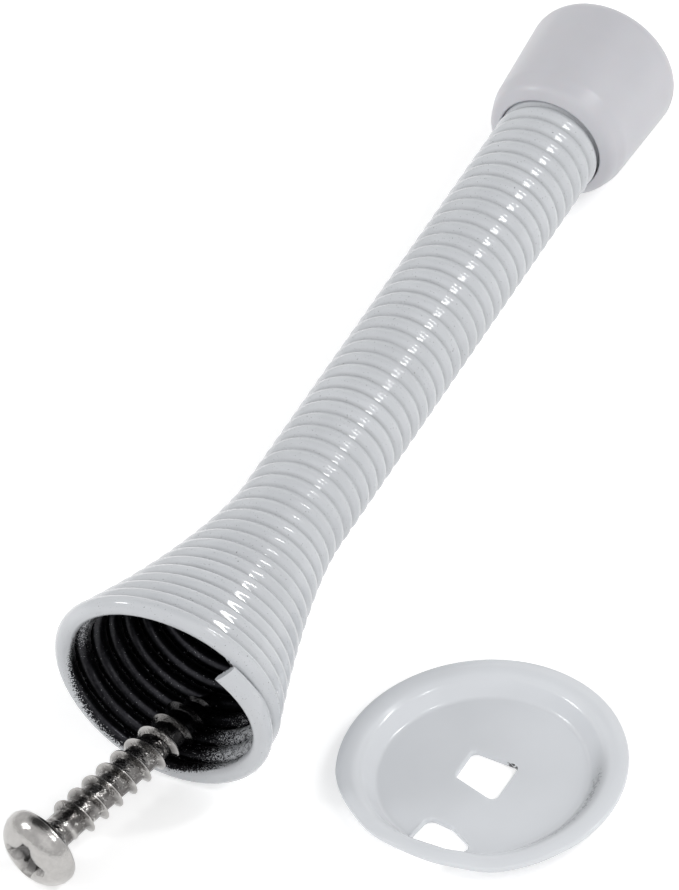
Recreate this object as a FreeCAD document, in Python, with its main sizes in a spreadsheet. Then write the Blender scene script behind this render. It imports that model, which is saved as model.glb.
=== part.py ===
import FreeCAD, Part
import Sketcher
import math
import os

# Spring door stop, taken apart: the close-wound spring with its flared mouth,
# the soft tip on its narrow end, the pressed base plate and the wood screw.
# Millimetres. The origin is the centre of the plate's underside, +Z is up,
# and the spring points along +Y. Every piece lies on the plane z = 0.

Vector = FreeCAD.Vector
TURN = 2 * math.pi
# Rounded rims are drawn as this many flats.
ROUND_FLATS = 3

doc = FreeCAD.newDocument("spring_door_stop")
sheet = doc.addObject("Spreadsheet::Sheet", "Sizes")

SIZES = {
    # wire and coil
    "wire_diameter": 1.47,
    "coil_gap": 0.035,
    "body_diameter": 8.7,
    "body_length": 48.2,
    "mouth_diameter": 19.1,
    "flare_length": 20.24,
    "flare_power": 1.52,
    # the mouth is not quite square to the body's axis
    "flare_top_lead": 1.62,
    "flare_left_shift": 0.6,
    # the cut end of the wire at the mouth, drawn in to catch the plate
    "wire_end_angle": 37,
    "end_draw_in": 1.3,
    "end_draw_turns": 0.3,
    "end_spring_back": 0.03,
    # soft tip
    "tip_length": 10.9,
    "tip_rim_diameter": 11.66,
    "tip_face_diameter": 12.75,
    "tip_seat_depth": 7.5,
    "tip_clearance": 0.06,
    "tip_rim_rounding": 0.8,
    "tip_face_rounding": 1.5,
    # base plate
    "plate_diameter": 22.0,
    "plate_height": 2.05,
    "sheet_thickness": 0.55,
    "floor_diameter": 16.1,
    "wall_top_diameter": 18.5,
    "wall_top_drop": 0.45,
    "crest_diameter": 19.6,
    "flange_drop": 0.2,
    "hole_side": 3.8,
    "hole_rounding": 0.6,
    "slot_width": 4.2,
    "slot_inner_reach": 5.5,
    "slot_outer_reach": 9.6,
    "slot_height": 1.45,
    "slot_rounding": 0.9,
    # wood screw
    "screw_length": 19.05,
    "core_diameter": 2.5,
    "thread_diameter": 3.45,
    "head_diameter": 6.5,
    "head_height": 2.2,
    "head_rounding": 1.75,
    "neck_diameter": 2.9,
    "neck_length": 1.3,
    "point_length": 4.2,
    "point_width": 0.3,
    "recess_span": 3.7,
    "recess_arm": 0.95,
    "recess_depth": 1.5,
    "recess_taper_angle": 12,
    # how the pieces lie
    "spring_right": -21.31,
    "spring_back": -7.71,
    "screw_head_right": -5.66,
    "screw_head_back": -14.46,
    "screw_angle": 16.5,
    "lip_clearance": 0.05,
}

for row, (alias, value) in enumerate(SIZES.items(), start=1):
    sheet.set(f"A{row}", alias)
    sheet.set(f"B{row}", str(value))
    sheet.setAlias(f"B{row}", alias)
doc.recompute()


def size(alias):
    return float(sheet.get(alias))


def plane(body, role):
    for feature in body.Origin.OriginFeatures:
        if feature.Role == role:
            return feature
    raise ValueError(role)


def new_sketch(body, name, role):
    sketch = body.newObject("Sketcher::SketchObject", name)
    sketch.AttachmentSupport = [(plane(body, role), "")]
    sketch.MapMode = "FlatFace"
    return sketch


def bind(sketch, kind, geometry, point, guess, formula):
    """Ties one coordinate of a sketch point to a formula of sheet cells."""
    index = sketch.addConstraint(
        Sketcher.Constraint(kind, -1, 1, geometry, point, guess)
    )
    sketch.setExpression(f"Constraints[{index}]", formula)


def closed_outline(sketch, corners):
    """Draws straight edges through corners given as (x, y, x formula, y formula).

    A formula of None leaves that coordinate on the sketch's axis.
    """
    count = len(corners)
    for i, corner in enumerate(corners):
        following = corners[(i + 1) % count]
        start = Vector(corner[0], corner[1], 0)
        end = Vector(following[0], following[1], 0)
        sketch.addGeometry(Part.LineSegment(start, end), False)
    for i in range(count):
        sketch.addConstraint(
            Sketcher.Constraint("Coincident", i, 2, (i + 1) % count, 1)
        )
    for i, (x, y, x_formula, y_formula) in enumerate(corners):
        if x_formula is None:
            sketch.addConstraint(Sketcher.Constraint("PointOnObject", i, 1, -2))
        else:
            bind(sketch, "DistanceX", i, 1, x, x_formula)
        if y_formula is None:
            sketch.addConstraint(Sketcher.Constraint("PointOnObject", i, 1, -1))
        else:
            bind(sketch, "DistanceY", i, 1, y, y_formula)


def eased(edge, end, rounding, end_formula, edge_formula, rounding_formula, sign):
    """Corner points of a rounded rim drawn as flats, from its side to its end face."""
    points = []
    for k in range(ROUND_FLATS + 1):
        angle = 90 * k / ROUND_FLATS
        inward = 1 - math.cos(math.radians(angle))
        back = 1 - math.sin(math.radians(angle))
        points.append(
            (
                edge - rounding * inward,
                end - sign * rounding * back,
                f"{edge_formula} - {rounding_formula} * (1 - cos({angle} deg))",
                f"{end_formula} - ({sign}) * {rounding_formula} * (1 - sin({angle} deg))",
            )
        )
    return points


def revolve(body, name, sketch):
    solid = body.newObject("PartDesign::Revolution", name)
    solid.Profile = sketch
    solid.ReferenceAxis = (sketch, ["V_Axis"])
    solid.Angle = 360
    sketch.Visibility = False
    doc.recompute()
    return solid


# spring

WIRE = size("wire_diameter")
PITCH = WIRE + size("coil_gap")
BODY_RADIUS = size("body_diameter") / 2 - WIRE / 2
MOUTH_RADIUS = size("mouth_diameter") / 2 - WIRE / 2
FLARE = size("flare_length")
POWER = size("flare_power")
END_ANGLE = -math.radians(size("wire_end_angle"))
TIP_RIM = FLARE + size("body_length")
SPRING_LENGTH = TIP_RIM + size("tip_seat_depth")
FLARE_STEPS = 14
BODY_STEPS = 10
WIRE_SIDES = 8


def flare_radius(along):
    """Radius of the wire's centre line at a distance along the axis."""
    return BODY_RADIUS + (MOUTH_RADIUS - BODY_RADIUS) * flare_share(along) ** POWER


def flare_slope(along):
    step = 0.001
    return (flare_radius(along + step) - flare_radius(along - step)) / (2 * step)


def flare_share(along):
    """1 at the mouth, falling to 0 where the straight body begins."""
    return max(0.0, 1 - along / FLARE)


def top_lead(angle, along):
    """How far the upper side of the flare reaches ahead of its lower side."""
    height = (1 - math.sin(angle)) / 2
    return size("flare_top_lead") * height**2 * flare_share(along)


def left_shift(along):
    """How far the flare's centre lies to the left of the body's axis."""
    return size("flare_left_shift") * flare_share(along) ** 2


def advance(along, travel):
    """Moves along the axis by a travel measured on the flare's own curve."""
    middle = along + travel / 2 / math.hypot(1, flare_slope(along))
    return along + travel / math.hypot(1, flare_slope(middle))


def wire_stations():
    """Turn count and axial place of each section, one after another."""
    stations = [(0.0, 0.0)]
    turns = 0.0
    along = 0.0
    last = SPRING_LENGTH - WIRE / 2
    while along < last:
        steps = FLARE_STEPS if along < FLARE else BODY_STEPS
        for _ in range(steps):
            along = advance(along, PITCH / steps)
            turns += 1 / steps
            if along > last:
                break
            stations.append((turns, along))
    return stations


def drawn_centre(turns, along):
    """Centre of the wire, with its first stretch drawn in on the next turn."""
    radius = flare_radius(along)
    reach = size("end_draw_turns")
    if turns >= reach:
        return radius, along
    share = (1 - turns / reach) ** 2
    radius -= size("end_draw_in") * share
    next_along = along
    for _ in range(FLARE_STEPS):
        next_along = advance(next_along, PITCH / FLARE_STEPS)
    rise = flare_radius(next_along) - radius
    apart = PITCH + size("end_spring_back") * share
    return radius, next_along - math.sqrt(apart**2 - rise**2)


def wire_node(turns, along):
    """Point of the wire's centre line in the spring's own frame."""
    angle = END_ANGLE + TURN * turns
    radius, place = drawn_centre(turns, along)
    return Vector(
        radius * math.cos(angle) - left_shift(along),
        radius * math.sin(angle),
        place - top_lead(angle, along),
    )


nodes = [wire_node(turns, along) for turns, along in wire_stations()]
wire_line = doc.addObject("Part::Polygon", "WireLine")
wire_line.Nodes = nodes
wire_line.Close = False
wire_section = doc.addObject("Part::RegularPolygon", "WireSection")
wire_section.Polygon = WIRE_SIDES
wire_section.setExpression("Circumradius", "Sizes.wire_diameter / 2")
wire_section.Placement = FreeCAD.Placement(
    nodes[0], FreeCAD.Rotation(Vector(0, 0, 1), nodes[1] - nodes[0])
)
spring = doc.addObject("Part::Sweep", "Spring")
spring.Label = "spring"
spring.Sections = [wire_section]
spring.Spine = (wire_line, [])
spring.Solid = True
spring.Frenet = True
spring.Transition = "Right corner"
doc.recompute()

# The spring lies on its mouth and on the far edge of the tip.
low_turn = (math.pi / 2 - END_ANGLE) / TURN
low_along = 0.0
for _ in range(FLARE_STEPS):
    low_along = advance(low_along, PITCH * low_turn / FLARE_STEPS)
face_rounding = size("tip_face_rounding")
span = TIP_RIM + size("tip_length") - face_rounding - low_along
fall = flare_radius(low_along) - (size("tip_face_diameter") / 2 - face_rounding)
lean = math.asin((WIRE / 2 - face_rounding) / math.hypot(span, fall)) + math.atan2(
    fall, span
)
AXIS = Vector(0, math.cos(lean), -math.sin(lean))
LIE_DOWN = FreeCAD.Rotation(Vector(1, 0, 0), -90 - math.degrees(lean))

spring.Placement = FreeCAD.Placement(Vector(0, 0, 0), LIE_DOWN)
tip_low = (FLARE + size("body_length") + size("tip_length")) * math.sin(lean)
tip_low += size("tip_face_diameter") / 2 * math.cos(lean)
tip_low -= face_rounding * (math.sin(lean) + math.cos(lean) - 1)
AXIS_HEIGHT = max(-spring.Shape.BoundBox.ZMin, tip_low)
MOUTH = Vector(size("spring_right"), size("spring_back"), AXIS_HEIGHT)
spring.Placement = FreeCAD.Placement(MOUTH, LIE_DOWN)


# soft tip

tip = doc.addObject("PartDesign::Body", "Tip")
tip.Label = "bumper_tip"
tip_profile = new_sketch(tip, "TipProfile", "XZ_Plane")
bore = "Sizes.body_diameter / 2 + Sizes.tip_clearance"
bore_radius = size("body_diameter") / 2 + size("tip_clearance")
seat = "Sizes.tip_seat_depth + Sizes.tip_clearance"
seat_depth = size("tip_seat_depth") + size("tip_clearance")
FACE = size("tip_face_diameter") / 2
RIM = size("tip_rim_diameter") / 2
LENGTH = size("tip_length")
rim_corner = eased(
    RIM,
    0,
    size("tip_rim_rounding"),
    "0",
    "Sizes.tip_rim_diameter / 2",
    "Sizes.tip_rim_rounding",
    -1,
)
face_corner = eased(
    FACE,
    LENGTH,
    size("tip_face_rounding"),
    "Sizes.tip_length",
    "Sizes.tip_face_diameter / 2",
    "Sizes.tip_face_rounding",
    1,
)
# The last flat of the rim's corner ends on the rim plane itself.
rim_corner[-1] = rim_corner[-1][:3] + (None,)
closed_outline(
    tip_profile,
    [(bore_radius, 0, bore, None)]
    + rim_corner[::-1]
    + face_corner
    + [
        (0, LENGTH, None, "Sizes.tip_length"),
        (0, seat_depth, None, seat),
        (bore_radius, seat_depth, bore, seat),
    ],
)
revolve(tip, "TipTurned", tip_profile)
tip.Placement = FreeCAD.Placement(MOUTH + AXIS * TIP_RIM, LIE_DOWN)


# base plate

plate = doc.addObject("PartDesign::Body", "Plate")
plate.Label = "base_plate"
plate_profile = new_sketch(plate, "PlateProfile", "XZ_Plane")
THICK = size("sheet_thickness")
HIGH = size("plate_height")
FLOOR = size("floor_diameter") / 2
CREST = size("crest_diameter") / 2
EDGE = size("plate_diameter") / 2
edge_height = HIGH - size("flange_drop")
WALL_TOP = size("wall_top_diameter") / 2
WALL_HEIGHT = HIGH - size("wall_top_drop")
plate_corners = [
    (0, 0),
    (FLOOR + THICK / 2, 0),
    (WALL_TOP + THICK / 2, WALL_HEIGHT - THICK / 2),
    (CREST, HIGH - THICK),
    (EDGE - 0.1, edge_height - THICK),
    (EDGE, edge_height),
    (CREST, HIGH),
    (WALL_TOP, WALL_HEIGHT),
    (FLOOR, THICK),
    (0, THICK),
]
for i, (x, y) in enumerate(plate_corners):
    next_x, next_y = plate_corners[(i + 1) % len(plate_corners)]
    plate_profile.addGeometry(
        Part.LineSegment(Vector(x, y, 0), Vector(next_x, next_y, 0)), False
    )
for i in range(len(plate_corners)):
    plate_profile.addConstraint(
        Sketcher.Constraint("Coincident", i, 2, (i + 1) % len(plate_corners), 1)
    )
# Underside 0 to 3, cut edge 4, upper side 5 to 8, middle 9.
plate_profile.addConstraint(Sketcher.Constraint("Coincident", 0, 1, -1, 1))
plate_profile.addConstraint(Sketcher.Constraint("Horizontal", 0))
plate_profile.addConstraint(Sketcher.Constraint("Horizontal", 8))
plate_profile.addConstraint(Sketcher.Constraint("PointOnObject", 9, 1, -2))
bind(plate_profile, "DistanceY", 9, 1, THICK, "Sizes.sheet_thickness")
bind(plate_profile, "DistanceX", 8, 1, FLOOR, "Sizes.floor_diameter / 2")
bind(plate_profile, "DistanceX", 7, 1, WALL_TOP, "Sizes.wall_top_diameter / 2")
wall_formula = "Sizes.plate_height - Sizes.wall_top_drop"
bind(plate_profile, "DistanceY", 7, 1, WALL_HEIGHT, wall_formula)
bind(plate_profile, "DistanceX", 6, 1, CREST, "Sizes.crest_diameter / 2")
bind(plate_profile, "DistanceY", 6, 1, HIGH, "Sizes.plate_height")
bind(plate_profile, "DistanceX", 5, 1, EDGE, "Sizes.plate_diameter / 2")
edge_formula = "Sizes.plate_height - Sizes.flange_drop"
bind(plate_profile, "DistanceY", 5, 1, edge_height, edge_formula)
for underside, upper in ((1, 7), (2, 6), (3, 5)):
    plate_profile.addConstraint(Sketcher.Constraint("Parallel", underside, upper))
    index = plate_profile.addConstraint(
        Sketcher.Constraint("Distance", underside, 2, upper, THICK)
    )
    plate_profile.setExpression(f"Constraints[{index}]", "Sizes.sheet_thickness")
plate_profile.addConstraint(Sketcher.Constraint("Perpendicular", 4, 5))
revolve(plate, "Dish", plate_profile)


def rounded_box(sketch, low_x, low_y, high_x, high_y, rounding, formulas, rounding_formula):
    """Draws a rectangle with rounded corners, its sides and corner radius bound."""
    r = rounding
    lines = [
        ((low_x + r, low_y), (high_x - r, low_y)),
        ((high_x, low_y + r), (high_x, high_y - r)),
        ((high_x - r, high_y), (low_x + r, high_y)),
        ((low_x, high_y - r), (low_x, low_y + r)),
    ]
    centres = [
        (high_x - r, low_y + r, -90),
        (high_x - r, high_y - r, 0),
        (low_x + r, high_y - r, 90),
        (low_x + r, low_y + r, 180),
    ]
    for (x0, y0), (x1, y1) in lines:
        sketch.addGeometry(Part.LineSegment(Vector(x0, y0, 0), Vector(x1, y1, 0)), False)
    for x, y, start in centres:
        circle = Part.Circle(Vector(x, y, 0), Vector(0, 0, 1), r)
        first = math.radians(start)
        arc = Part.ArcOfCircle(circle, first, first + math.pi / 2)
        sketch.addGeometry(arc, False)
    for i in range(4):
        sketch.addConstraint(Sketcher.Constraint("Tangent", i, 2, 4 + i, 1))
        sketch.addConstraint(Sketcher.Constraint("Tangent", 4 + i, 2, (i + 1) % 4, 1))
    for line, kind in ((0, "Horizontal"), (1, "Vertical"), (2, "Horizontal"), (3, "Vertical")):
        sketch.addConstraint(Sketcher.Constraint(kind, line))
    for i in range(1, 4):
        sketch.addConstraint(Sketcher.Constraint("Equal", 4, 4 + i))
    radius = sketch.addConstraint(Sketcher.Constraint("Radius", 4, r))
    sketch.setExpression(f"Constraints[{radius}]", rounding_formula)
    sides = (
        ("DistanceY", 0, low_y, formulas[1]),
        ("DistanceX", 1, high_x, formulas[2]),
        ("DistanceY", 2, high_y, formulas[3]),
        ("DistanceX", 3, low_x, formulas[0]),
    )
    for kind, line, guess, formula in sides:
        bind(sketch, kind, line, 1, guess, formula)


def cut_up(body, name, sketch, formula):
    """Cuts from the underside plane upwards and proves that it took metal away."""
    before = body.Shape.Volume
    pocket = body.newObject("PartDesign::Pocket", name)
    pocket.Profile = sketch
    pocket.Reversed = True
    pocket.setExpression("Length", formula)
    sketch.Visibility = False
    doc.recompute()
    if not body.Shape.Volume < before - 1e-6:
        raise ValueError(f"{name} cuts nothing")
    return pocket


half_hole = size("hole_side") / 2
hole_sketch = new_sketch(plate, "HoleOutline", "XY_Plane")
rounded_box(
    hole_sketch,
    -half_hole,
    -half_hole,
    half_hole,
    half_hole,
    size("hole_rounding"),
    (
        "-Sizes.hole_side / 2",
        "-Sizes.hole_side / 2",
        "Sizes.hole_side / 2",
        "Sizes.hole_side / 2",
    ),
    "Sizes.hole_rounding",
)
cut_up(plate, "SquareHole", hole_sketch, "Sizes.plate_height")

half_slot = size("slot_width") / 2
slot_sketch = new_sketch(plate, "SlotOutline", "XY_Plane")
rounded_box(
    slot_sketch,
    -half_slot,
    -size("slot_outer_reach"),
    half_slot,
    -size("slot_inner_reach"),
    size("slot_rounding"),
    (
        "-Sizes.slot_width / 2",
        "-Sizes.slot_outer_reach",
        "Sizes.slot_width / 2",
        "-Sizes.slot_inner_reach",
    ),
    "Sizes.slot_rounding",
)
cut_up(plate, "WireSlot", slot_sketch, "Sizes.slot_height")


# wood screw, built along +Z from the seat of its head to its point

screw = doc.addObject("PartDesign::Body", "Screw")
screw.Label = "wood_screw"
UNDER_HEAD = "Sizes.head_height"
screw_profile = new_sketch(screw, "ScrewProfile", "XZ_Plane")
head_top = size("head_height")
head_radius = size("head_diameter") / 2
neck_radius = size("neck_diameter") / 2
core_radius = size("core_diameter") / 2
neck_end = head_top + size("neck_length")
tip_end = head_top + size("screw_length")
point_start = tip_end - size("point_length")
dome = eased(
    head_radius,
    0,
    size("head_rounding"),
    "0",
    "Sizes.head_diameter / 2",
    "Sizes.head_rounding",
    -1,
)
dome[-1] = dome[-1][:3] + (None,)
closed_outline(
    screw_profile,
    [(0, 0, None, None)]
    + dome[::-1]
    + [
        (head_radius, head_top, "Sizes.head_diameter / 2", UNDER_HEAD),
        (neck_radius, head_top, "Sizes.neck_diameter / 2", UNDER_HEAD),
        (neck_radius, neck_end, "Sizes.neck_diameter / 2", f"{UNDER_HEAD} + Sizes.neck_length"),
        (core_radius, neck_end, "Sizes.core_diameter / 2", f"{UNDER_HEAD} + Sizes.neck_length"),
        (
            core_radius,
            point_start,
            "Sizes.core_diameter / 2",
            f"{UNDER_HEAD} + Sizes.screw_length - Sizes.point_length",
        ),
        (
            size("point_width") / 2,
            tip_end,
            "Sizes.point_width / 2",
            f"{UNDER_HEAD} + Sizes.screw_length",
        ),
        (0, tip_end, None, f"{UNDER_HEAD} + Sizes.screw_length"),
    ],
)
revolve(screw, "ScrewTurned", screw_profile)

half_span = size("recess_span") / 2
half_arm = size("recess_arm") / 2
SPAN = "Sizes.recess_span / 2"
ARM = "Sizes.recess_arm / 2"
recess_sketch = new_sketch(screw, "RecessOutline", "XY_Plane")
cross = [
    (half_span, -half_arm, SPAN, f"-{ARM}"),
    (half_span, half_arm, SPAN, ARM),
    (half_arm, half_arm, ARM, ARM),
    (half_arm, half_span, ARM, SPAN),
    (-half_arm, half_span, f"-{ARM}", SPAN),
    (-half_arm, half_arm, f"-{ARM}", ARM),
    (-half_span, half_arm, f"-{SPAN}", ARM),
    (-half_span, -half_arm, f"-{SPAN}", f"-{ARM}"),
    (-half_arm, -half_arm, f"-{ARM}", f"-{ARM}"),
    (-half_arm, -half_span, f"-{ARM}", f"-{SPAN}"),
    (half_arm, -half_span, ARM, f"-{SPAN}"),
    (half_arm, -half_arm, ARM, f"-{ARM}"),
]
closed_outline(recess_sketch, cross)
recess = cut_up(screw, "CrossRecess", recess_sketch, "Sizes.recess_depth")
recess.setExpression("TaperAngle", "Sizes.recess_taper_angle * -1")
doc.recompute()

# The head rests on the floor and the thread on the turns inside the mouth.
CLIMB_STEPS = 60
turn = math.radians(size("screw_angle"))
head_place = Vector(
    size("spring_right") + size("screw_head_right"),
    size("spring_back") + size("screw_head_back"),
    0,
)
aside = math.sin(turn)
forward = math.cos(turn)
climb = 0.0
for step in range(CLIMB_STEPS + 1):
    left_over = size("screw_length") * (1 - step / CLIMB_STEPS)
    run = size("head_height") + size("screw_length") - left_over
    along = (head_place.y + run * forward - size("spring_back")) / math.cos(lean)
    if along < 0:
        continue
    right = head_place.x + run * aside - size("spring_right") + left_shift(along)
    girth = size("thread_diameter") / 2 * min(1, left_over / size("point_length"))
    room = flare_radius(along) - WIRE / 2 - girth - size("lip_clearance")
    needed = AXIS_HEIGHT - along * math.sin(lean) - math.sqrt(room**2 - right**2)
    climb = max(climb, math.asin((needed - head_radius) / (run - size("head_rounding"))))
head_place.z = head_radius * math.cos(climb) - size("head_rounding") * math.sin(climb)
aim = Vector(
    math.sin(turn) * math.cos(climb),
    math.cos(turn) * math.cos(climb),
    math.sin(climb),
)
screw.Placement = FreeCAD.Placement(head_place, FreeCAD.Rotation(Vector(0, 0, 1), aim))

doc.recompute()

parts = [spring, tip, plate, screw]
for item in doc.Objects:
    if "Invalid" in item.State or "Error" in item.State:
        raise ValueError(f"{item.Name} failed: {item.State}")
for item in parts:
    if item.Shape.isNull() or not item.Shape.isValid():
        raise ValueError(f"{item.Label} has no valid shape")

os.makedirs("parts", exist_ok=True)
for item in parts:
    item.Shape.exportStep(f"parts/{item.Label}.step")
    box = item.Shape.BoundBox
    print(
        item.Label,
        "faces", len(item.Shape.Faces),
        "volume", round(item.Shape.Volume, 2),
        "x", round(box.XMin, 2), round(box.XMax, 2),
        "y", round(box.YMin, 2), round(box.YMax, 2),
        "z", round(box.ZMin, 3), round(box.ZMax, 2),
    )
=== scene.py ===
import math

import bpy
import numpy as np
from bpy.props import FloatProperty, FloatVectorProperty, PointerProperty
from mathutils import Matrix, Vector
from mathutils.geometry import delaunay_2d_cdt


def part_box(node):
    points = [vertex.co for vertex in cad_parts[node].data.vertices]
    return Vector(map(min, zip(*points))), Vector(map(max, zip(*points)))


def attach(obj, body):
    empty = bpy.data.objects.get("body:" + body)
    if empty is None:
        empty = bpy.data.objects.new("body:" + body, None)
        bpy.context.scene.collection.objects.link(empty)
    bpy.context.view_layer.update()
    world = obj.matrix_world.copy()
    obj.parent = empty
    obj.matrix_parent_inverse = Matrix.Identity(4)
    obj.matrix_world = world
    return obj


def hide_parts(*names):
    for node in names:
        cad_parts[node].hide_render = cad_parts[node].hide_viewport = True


bl_info = {
    "name": "Spring Door Stop",
    "version": (1, 0, 0),
    "blender": (4, 5, 0),
    "location": "3D View > Sidebar > Door Stop",
    "description": "Builds a spring door stop with soft tip, base plate and wood screw",
    "category": "Object",
}

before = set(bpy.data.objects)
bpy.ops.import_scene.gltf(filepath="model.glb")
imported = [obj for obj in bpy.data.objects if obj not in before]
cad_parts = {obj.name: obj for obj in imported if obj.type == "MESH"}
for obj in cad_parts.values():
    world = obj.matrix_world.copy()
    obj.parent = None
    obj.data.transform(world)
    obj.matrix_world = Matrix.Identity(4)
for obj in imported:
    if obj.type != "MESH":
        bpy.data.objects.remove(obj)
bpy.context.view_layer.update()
TIP_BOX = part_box("bumper_tip")
PLATE_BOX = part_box("base_plate")

MM = 0.001
TURN = 2 * math.pi
AXIS_X = (TIP_BOX[0][0] + TIP_BOX[1][0]) / 2
PLATE_DIAMETER = PLATE_BOX[1][0] - PLATE_BOX[0][0]


def length(name, description, default):
    """A size in metres."""
    return FloatProperty(
        name=name, description=description, default=default, unit="LENGTH", precision=5
    )


def angle(name, description, degrees):
    """An angle, given in degrees."""
    return FloatProperty(
        name=name,
        description=description,
        default=math.radians(degrees),
        subtype="ANGLE",
    )


def plain(name, description, default):
    """A number without a unit."""
    return FloatProperty(
        name=name, description=description, default=default, precision=3
    )


def colour(name, description, default):
    """A colour with its alpha."""
    return FloatVectorProperty(
        name=name,
        description=description,
        default=default,
        subtype="COLOR",
        size=4,
        min=0,
        max=1,
    )


class SpringSizes(bpy.types.PropertyGroup):
    wire_diameter: length("Wire", "Diameter of the painted wire", 1.47 * MM)
    pitch: length("Pitch", "Distance from turn to turn", 1.505 * MM)
    body_diameter: length("Body", "Outer diameter of the straight body", 8.7 * MM)
    body_length: length("Body length", "Straight body in view", 48.2 * MM)
    mouth_diameter: length("Mouth", "Outer diameter of the mouth", 19.1 * MM)
    flare_length: length("Flare length", "Length of the flared part", 20.24 * MM)
    flare_power: plain("Flare curve", "How fast the flare opens at the mouth", 1.52)
    top_lead: length("Top lead", "How far the mouth's top reaches ahead", 1.62 * MM)
    left_shift: length("Left shift", "How far left the mouth lies", 0.6 * MM)
    hidden_length: length("In the tip", "Length of spring inside the tip", 7.5 * MM)
    end_angle: angle("Wire end", "Where the wire ends at the mouth", 37)
    draw_in: length("Draw in", "How far the wire's end is drawn in", 1.3 * MM)
    draw_turns: plain("Draw turns", "Share of a turn that is drawn in", 0.3)
    draw_gap: length("End gap", "Gap from the drawn end to the next turn", 0.03 * MM)
    groove: length("Groove", "Depth that the paint leaves between turns", 0.32 * MM)
    axis_height: length("Axis height", "Height of the axis at the mouth", 9.3706 * MM)
    mouth_y: length("Mouth place", "Place of the mouth along Y", -7.71 * MM)
    lean: angle("Lean", "How far the spring leans forward", 2.2082)


class TipSizes(bpy.types.PropertyGroup):
    length: length("Length", "Length of the soft tip", 10.9 * MM)
    rim_diameter: length("Rim", "Diameter at the spring", 11.66 * MM)
    face_diameter: length("Face", "Diameter at the far face", 12.75 * MM)
    bore_diameter: length("Bore", "Diameter of the bore", 8.82 * MM)
    rim_rounding: length("Rim rounding", "Rounding at the spring", 1.3 * MM)
    lip: length("Lip", "How far the rim bulges along the spring", 0.9 * MM)
    face_rounding: length("Face rounding", "Rounding of the far face", 1.6 * MM)


class PlateSizes(bpy.types.PropertyGroup):
    diameter: length("Diameter", "Diameter of the plate", PLATE_DIAMETER)
    height: length("Height", "Height of the rim", 2.05 * MM)
    sheet: length("Sheet", "Thickness of the sheet", 0.55 * MM)
    floor_diameter: length("Floor", "Diameter of the flat floor", 16.1 * MM)
    wall_diameter: length("Wall", "Diameter at the top of the wall", 18.05 * MM)
    crest_diameter: length("Crest", "Diameter of the crest", 19.6 * MM)
    wall_drop: length("Wall drop", "Wall's top below the crest", 0.45 * MM)
    edge_drop: length("Edge drop", "Outer edge below the crest", 0.2 * MM)
    hole_side: length("Hole", "Side of the square hole", 3.8 * MM)
    hole_rounding: length("Hole rounding", "Corner radius of the hole", 0.6 * MM)
    slot_width: length("Slot", "Width of the slot", 4.2 * MM)
    slot_inner: length("Slot start", "Reach of the slot's inner side", 5.5 * MM)
    slot_outer: length("Slot end", "Reach of the slot's outer side", 9.6 * MM)
    slot_height: length("Slot height", "Height of the slot in the wall", 1.45 * MM)
    slot_rounding: length("Slot rounding", "Corner radius of the slot", 0.9 * MM)
    rim_lift: length("Rim lift", "How far the punch lifted the rim", 0.5 * MM)
    rim_dent: length("Rim dent", "How far the punch pulled the rim inwards", 0.55 * MM)


class ScrewSizes(bpy.types.PropertyGroup):
    length: length("Length", "Length under the head", 19.05 * MM)
    core: length("Core", "Diameter of the core", 2.5 * MM)
    thread: length("Thread", "Diameter over the thread", 3.45 * MM)
    pitch: length("Pitch", "Distance from crest to crest", 1.55 * MM)
    crest: length("Crest", "Width of the thread's crest", 0.1 * MM)
    root: length("Root", "Width of the thread's root", 0.66 * MM)
    neck: length("Neck", "Diameter under the head", 2.9 * MM)
    neck_length: length("Neck length", "Thicker length under the head", 1.3 * MM)
    thread_start: length("Thread start", "Where the thread begins", 1.9 * MM)
    thread_turn: angle("Thread turn", "How the thread is turned", 61)
    point: length("Point", "Length of the tapered point", 4.2 * MM)
    head: length("Head", "Diameter of the head", 6.5 * MM)
    head_height: length("Head height", "Height of the head", 2.2 * MM)
    recess_span: length("Recess", "Span of the cross recess", 3.7 * MM)
    recess_arm: length("Recess arm", "Width of an arm of the recess", 0.95 * MM)
    recess_depth: length("Recess depth", "Depth of the recess", 1.5 * MM)
    recess_turn: angle("Recess turn", "How the recess is turned", -7)
    x: length("Head X", "Place of the head's top, X", -26.97 * MM)
    y: length("Head Y", "Place of the head's top, Y", -22.17 * MM)
    z: length("Head Z", "Place of the head's top, Z", 3.1957 * MM)
    turn: angle("Turn", "Direction of the screw in plan", 16.5)
    climb: angle("Climb", "Slope of the screw", 1.7305)


class Finishes(bpy.types.PropertyGroup):
    paint: colour("Paint", "Paint of the spring and plate", (0.71, 0.73, 0.76, 1))
    rubber: colour("Tip", "Rubber of the tip", (0.59, 0.59, 0.625, 1))
    bare_wire: colour("Bare wire", "Wire inside the mouth", (0.013, 0.013, 0.017, 1))
    screw_metal: colour("Screw", "Metal of the screw", (0.42, 0.41, 0.40, 1))
    floor: colour("Floor", "Floor and backdrop", (0.92, 0.92, 0.92, 1))


class StageSizes(bpy.types.PropertyGroup):
    azimuth: angle("Azimuth", "Camera's turn about Z", 30.43)
    elevation: angle("Elevation", "Camera's height angle", 43.519)
    roll: angle("Roll", "Camera's roll", 7.089)
    distance: length("Distance", "Camera's distance", 619.5 * MM)
    aim_x: length("Aim X", "Point on the floor at the image's centre, X", -25.82 * MM)
    aim_y: length("Aim Y", "Point on the floor at the image's centre, Y", 28.99 * MM)
    lens: plain("Lens", "Focal length in millimetres", 320.62)


# shared mesh work


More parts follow.
